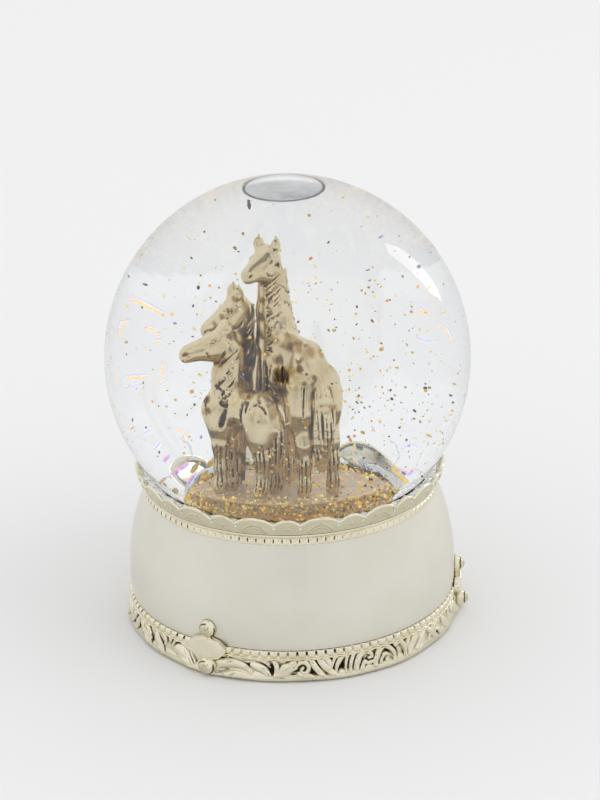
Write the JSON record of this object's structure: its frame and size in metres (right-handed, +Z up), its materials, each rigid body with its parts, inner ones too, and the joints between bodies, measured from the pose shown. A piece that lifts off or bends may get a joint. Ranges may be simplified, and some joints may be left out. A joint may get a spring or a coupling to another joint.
{
  "type": "musical snow globe",
  "caption": "Free-standing wind-up musical snow globe: liquid-filled glass sphere with a figurine of horses and glitter on a satin drum base with plated ornament.",
  "frame": {"origin": "Centre of the circle the base stands on, on the table plane.", "axes": "+Z up through the centre of the sphere; -Y is the front, towards the viewer; +X to the viewer's right."},
  "size_m": [0.0998, 0.0998, 0.1255],
  "materials": {
    "globe_glass": "clear blown glass, polished",
    "liquid": "clear liquid, slightly blue white",
    "figure_gold": "champagne gold vacuum plate, dark antiqued recesses",
    "plated_champagne": "champagne gold vacuum plate, bright",
    "satin_pearl": "satin pearl champagne metallic coat",
    "glitter": "mixed gold and dark metallic flakes",
    "seal_rubber": "soft translucent white rubber",
    "felt_black": "pressed felt",
    "plate_black": "moulded board, fine texture",
    "screw_steel": "zinc plated steel",
    "spring_steel": "blued spring steel",
    "movement_steel": "turned steel",
    "movement_brass": "stamped and turned brass",
    "movement_zinc": "die cast zinc, matt"
  },
  "bodies": {
    "root": {"glass_globe": "globe_glass", "liquid_fill": "liquid", "settled_glitter": "glitter", "figurine_plinth": "figure_gold", "tall_horse": "figure_gold", "mare": "figure_gold", "foal": "figure_gold", "globe_stopper": "seal_rubber", "globe_gasket": "seal_rubber", "base_body": "satin_pearl", "collar_ring": "plated_champagne", "upper_bead_band": "plated_champagne", "lower_bead_band": "plated_champagne", "foot_ring": "plated_champagne", "felt_ring": "felt_black", "bottom_plate": "plate_black", "bedplate": "movement_zinc", "comb_block": "movement_zinc", "spring_housing": "movement_steel", "mainspring": "spring_steel", "left_bracket": "movement_brass", "governor_plate": "movement_brass", "governor_frame": "movement_brass", "comb": "movement_steel", "plaque_1": "plated_champagne", "stud_top_1": "plated_champagne", "stud_bottom_1": "plated_champagne", "plate_screw_1": "screw_steel", "plaque_2": "plated_champagne", "stud_top_2": "plated_champagne", "stud_bottom_2": "plated_champagne", "plate_screw_2": "screw_steel", "plaque_3": "plated_champagne", "stud_top_3": "plated_champagne", "stud_bottom_3": "plated_champagne", "plate_screw_3": "screw_steel", "movement_screw_1": "screw_steel", "comb_screw_1": "screw_steel", "movement_screw_2": "screw_steel", "comb_screw_2": "screw_steel"},
    "drive": {"crown_wheel": "movement_brass", "clutch_spring": "spring_steel"},
    "key": {"winding_key": "movement_brass", "key_arbor": "movement_steel"},
    "cylinder": {"cylinder_pinion": "movement_brass", "cylinder_arbor": "movement_steel", "tune_cylinder": "movement_brass", "great_wheel": "movement_brass"},
    "governor_shaft": {"governor_pinion": "movement_steel", "worm_wheel": "movement_brass"},
    "fly": {"fly": "movement_steel"}
  },
  "joints": [
    {"name": "play", "type": "hinge", "parent": "root", "child": "drive", "pos_m": [-0.014, 0, 0.0135], "axis": [0, 0, 1], "range_deg": [0, 1440]},
    {"name": "wind", "type": "hinge", "parent": "drive", "child": "key", "pos_m": [-0.014, 0, 0.006], "axis": [0, 0, 1], "range_deg": [0, 1440]},
    {"name": "cylinder_spin", "type": "hinge", "parent": "root", "child": "cylinder", "pos_m": [0.01, 0, 0.01866], "axis": [1, 0, 0], "range_deg": [0, 4320]},
    {"name": "governor_spin", "type": "hinge", "parent": "root", "child": "governor_shaft", "pos_m": [0.022, 0.00675, 0.01866], "axis": [1, 0, 0], "range_deg": [-17280, 0]},
    {"name": "fly_spin", "type": "hinge", "parent": "root", "child": "fly", "pos_m": [0.0238, 0.01065, 0.01866], "axis": [0, 0, 1], "range_deg": [0, 311040]}
  ],
  "couplings": [
    {"joint": "cylinder_spin", "follows": "play", "ratio": 3},
    {"joint": "governor_spin", "follows": "play", "ratio": -12},
    {"joint": "fly_spin", "follows": "play", "ratio": 216}
  ]
}
